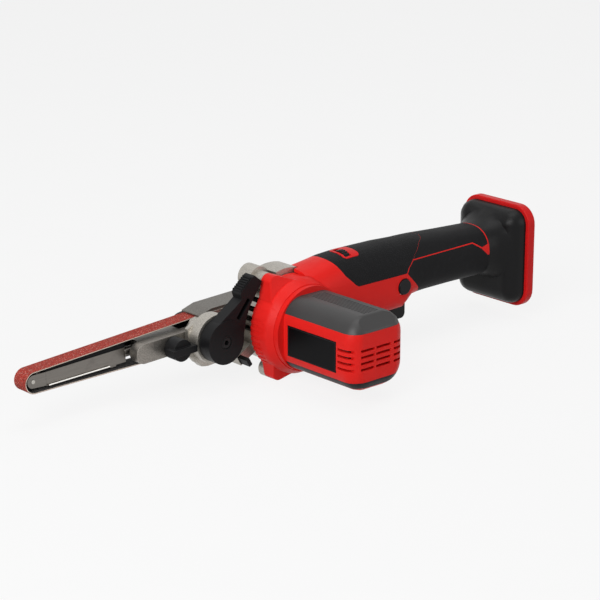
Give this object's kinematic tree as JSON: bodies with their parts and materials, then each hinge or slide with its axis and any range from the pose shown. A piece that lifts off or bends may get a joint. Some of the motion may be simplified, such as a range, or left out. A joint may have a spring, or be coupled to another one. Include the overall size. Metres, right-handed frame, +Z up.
{
  "type": "cordless power file",
  "caption": "Cordless power file: a narrow abrasive belt runs round a slim arm, driven by a motor pod set across a straight handle that ends in a battery foot.",
  "frame": {"origin": "centre of the battery face at the back of the foot", "axes": "+X out of the battery face, away from the arm; +Z up through the speed dial; +Y toward the belt side"},
  "size_m": [0.4226, 0.1383, 0.0878],
  "materials": {
    "red_shell": "moulded plastic with a fine satin grain",
    "black_rubber": "matt moulded rubber skin",
    "dark_rubber": "dark grey soft skin with fine grooves",
    "black_plastic": "satin moulded plastic",
    "cast_aluminium": "bead-blasted casting",
    "grey_paint": "grey painted sheet",
    "steel": "brushed",
    "black_steel": "blackened screw",
    "ferrite": "sintered",
    "copper": "drawn",
    "abrasive": "coated abrasive on cloth",
    "board": "solder mask",
    "red_lead": "insulated wire"
  },
  "bodies": {
    "base": {"motor_housing": "red_shell", "pod_top_grip": "dark_rubber", "pod_lower_strip": "black_rubber", "name_plate": "black_plastic", "front_housing": "cast_aluminium", "housing_screws": "steel", "motor_can": "steel", "magnets": "ferrite", "brush_plate": "black_plastic", "carbon_brushes": "ferrite", "rear_bearing": "steel", "front_bearing": "steel", "arm_retainer": "steel", "handle_shell_near": "red_shell", "handle_shell_far": "red_shell", "front_grip_near": "black_rubber", "front_grip_far": "black_rubber", "rear_grip_near": "black_rubber", "rear_grip_far": "black_rubber", "dial_bezel": "red_shell", "lock_spring": "steel", "trigger_spring": "steel", "switch_module": "black_plastic", "control_board": "board", "power_leads": "red_lead", "shell_screws": "steel", "foot_near": "black_plastic", "foot_far": "black_plastic", "foot_rim": "red_shell", "battery_plate": "black_plastic", "battery_terminals": "copper"},
    "rotor": {"motor_shaft": "steel", "armature_core": "steel", "armature_windings": "copper", "commutator": "copper", "cooling_fan": "black_plastic", "drive_pulley": "steel", "pulley_nut": "steel"},
    "arm": {"arm_head": "cast_aluminium", "belt_cover": "grey_paint", "cover_back_plate": "black_plastic", "cover_screws": "steel", "arm_bar": "cast_aluminium", "abrasive_belt": "abrasive", "tension_spring": "steel"},
    "tip": {"platen": "steel", "platen_pad": "black_rubber", "slide_tail": "black_plastic", "tip_fork": "steel", "tip_pin": "steel"},
    "roller": {"tip_roller": "black_plastic"},
    "lever": {"tension_lever": "black_plastic", "lever_screw": "black_steel", "tension_cam": "steel"},
    "knob": {"tracking_knob": "black_plastic"},
    "plunger": {"index_plunger": "black_plastic"},
    "trigger": {"trigger": "black_plastic"},
    "button": {"lock_button": "black_plastic"},
    "dial": {"speed_dial": "black_plastic"}
  },
  "joints": [
    {"name": "rotor_spin", "type": "hinge", "parent": "base", "child": "rotor", "pos_m": [-0.219, 0, -0.0105], "axis": [0, 1, 0], "continuous": true},
    {"name": "arm_swivel", "type": "hinge", "parent": "base", "child": "arm", "pos_m": [-0.219, 0.024, -0.0105], "axis": [0, 1, 0], "range_deg": [-10, 0]},
    {"name": "tip_slide", "type": "slide", "parent": "arm", "child": "tip", "axis": [0.9994, 0, 0.0349], "range_m": [0, 0.008], "stiffness_N_per_m": 400, "springref_m": -0.01, "deforming": ["tension_spring"]},
    {"name": "roller_spin", "type": "hinge", "parent": "tip", "child": "roller", "pos_m": [-0.41488, 0.0345, -0.01734], "axis": [0, 1, 0], "continuous": true},
    {"name": "lever_turn", "type": "hinge", "parent": "arm", "child": "lever", "pos_m": [-0.27826, 0.01, -0.01257], "axis": [0, -1, 0], "range_deg": [0, 60]},
    {"name": "knob_turn", "type": "hinge", "parent": "arm", "child": "knob", "pos_m": [-0.3069, 0.014, -0.01477], "axis": [0, 1, 0], "range_deg": [-180, 180]},
    {"name": "plunger_pull", "type": "slide", "parent": "base", "child": "plunger", "axis": [0, -1, 0], "range_m": [0, 0.003], "stiffness_N_per_m": 300, "springref_m": -0.003},
    {"name": "trigger_press", "type": "slide", "parent": "base", "child": "trigger", "axis": [0, 0, 1], "range_m": [0, 0.004], "stiffness_N_per_m": 500, "springref_m": -0.003, "deforming": ["trigger_spring"]},
    {"name": "lock_press", "type": "slide", "parent": "base", "child": "button", "axis": [0, 1, 0], "range_m": [0, 0.002], "stiffness_N_per_m": 300, "springref_m": -0.002, "deforming": ["lock_spring"]},
    {"name": "dial_turn", "type": "hinge", "parent": "base", "child": "dial", "pos_m": [-0.1706, -0.0028, 0.0238], "axis": [1, 0, 0], "range_deg": [-135, 135]}
  ],
  "couplings": [
    {"joint": "roller_spin", "follows": "rotor_spin", "ratio": 1.9062},
    {"joint": "lever_turn", "follows": "tip_slide", "rad_per_m": 130.9}
  ]
}
